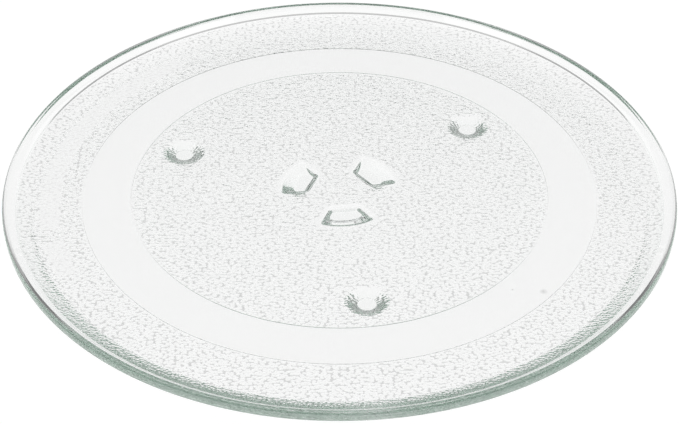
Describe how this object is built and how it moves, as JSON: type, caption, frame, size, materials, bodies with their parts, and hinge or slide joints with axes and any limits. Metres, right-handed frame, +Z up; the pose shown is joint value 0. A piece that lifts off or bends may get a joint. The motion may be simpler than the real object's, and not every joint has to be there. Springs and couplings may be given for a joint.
{
  "type": "microwave oven turntable plate",
  "caption": "Round clear pressed-glass turntable plate for a microwave oven, with a low rim, a smooth roller track underneath, small standing feet and drive lugs around the centre.",
  "frame": {"origin": "on the turning axis, in the plane of the feet that the plate stands on", "axes": "+Z up along the turning axis, out of the food side; +X right and +Y away from the viewer in the picture"},
  "size_m": [0.315, 0.315, 0.0136],
  "materials": {
    "clear_glass": "clear pressed glass, smooth on top, pebbled underneath"
  },
  "bodies": {
    "root": {"turntable_plate": "clear_glass"}
  },
  "joints": []
}
